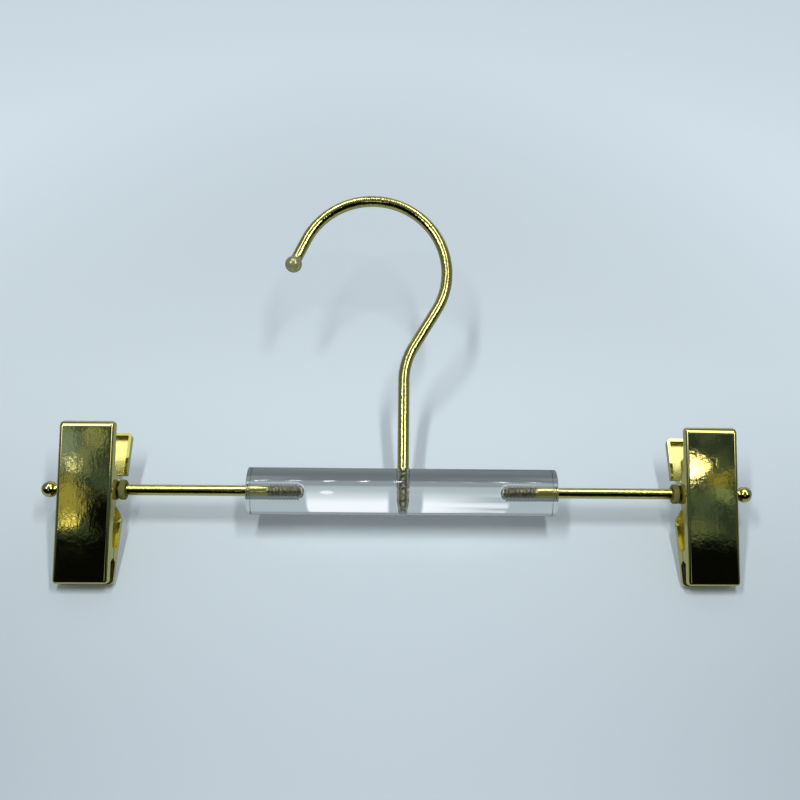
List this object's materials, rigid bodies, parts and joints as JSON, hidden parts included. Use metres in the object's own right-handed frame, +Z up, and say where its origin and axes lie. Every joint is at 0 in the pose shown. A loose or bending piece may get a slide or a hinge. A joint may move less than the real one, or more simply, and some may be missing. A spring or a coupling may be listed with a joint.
{
  "type": "pet clothes hanger",
  "caption": "Small clip hanger for pet clothes: a clear round bar, a swivelling wire hook and a sprung clip that slides and swings on a wire at each end.",
  "frame": {"origin": "inside of the top of the hook's arc, where the hanger rests on a rail", "axes": "+X along the bar to the right, +Y to the back, +Z up as it hangs"},
  "size_m": [0.2004, 0.0198, 0.1175],
  "materials": {
    "gold_plate": "bright pale gold plating, near mirror",
    "clear_acrylic": "polished, water clear",
    "translucent_ring": "soft, milky translucent",
    "spring_steel": "plain drawn wire",
    "pad_rubber": "dark matt rubber"
  },
  "bodies": {
    "hook": {"hook": "gold_plate"},
    "bar": {"acrylic_bar": "clear_acrylic", "left_side_wire": "gold_plate", "right_side_wire": "gold_plate"},
    "left_ring": {"left_stopper_ring": "translucent_ring"},
    "left_front_half": {"left_clip_front": "gold_plate", "left_front_pad": "pad_rubber", "left_clip_spring": "spring_steel"},
    "left_rear_half": {"left_clip_rear": "gold_plate", "left_rear_pad": "pad_rubber"},
    "right_ring": {"right_stopper_ring": "translucent_ring"},
    "right_front_half": {"right_clip_front": "gold_plate", "right_front_pad": "pad_rubber", "right_clip_spring": "spring_steel"},
    "right_rear_half": {"right_clip_rear": "gold_plate", "right_rear_pad": "pad_rubber"}
  },
  "joints": [
    {"name": "hook_swivel", "type": "hinge", "parent": "hook", "child": "bar", "pos_m": [0.0097, 0, -0.0816], "axis": [0, 0, 1], "range_deg": [-180, 180]},
    {"name": "left_clip_slide", "type": "slide", "parent": "bar", "child": "left_ring", "axis": [1, 0, 0], "range_m": [-0.0016, 0.0335]},
    {"name": "left_clip_swing", "type": "hinge", "parent": "left_ring", "child": "left_front_half", "pos_m": [-0.0767, 0, -0.08825], "axis": [1, 0, 0], "continuous": true},
    {"name": "left_clip_open", "type": "hinge", "parent": "left_front_half", "child": "left_rear_half", "pos_m": [-0.0767, 0, -0.08825], "axis": [1, 0, 0], "range_deg": [0, 30], "stiffness_Nm_per_rad": 0.06, "springref_deg": -28.65, "deforming": ["left_clip_spring"]},
    {"name": "right_clip_slide", "type": "slide", "parent": "bar", "child": "right_ring", "axis": [-1, 0, 0], "range_m": [-0.0016, 0.0335]},
    {"name": "right_clip_swing", "type": "hinge", "parent": "right_ring", "child": "right_front_half", "pos_m": [0.0961, 0, -0.08825], "axis": [1, 0, 0], "continuous": true},
    {"name": "right_clip_open", "type": "hinge", "parent": "right_front_half", "child": "right_rear_half", "pos_m": [0.0961, 0, -0.08825], "axis": [1, 0, 0], "range_deg": [0, 30], "stiffness_Nm_per_rad": 0.06, "springref_deg": -28.65, "deforming": ["right_clip_spring"]}
  ]
}
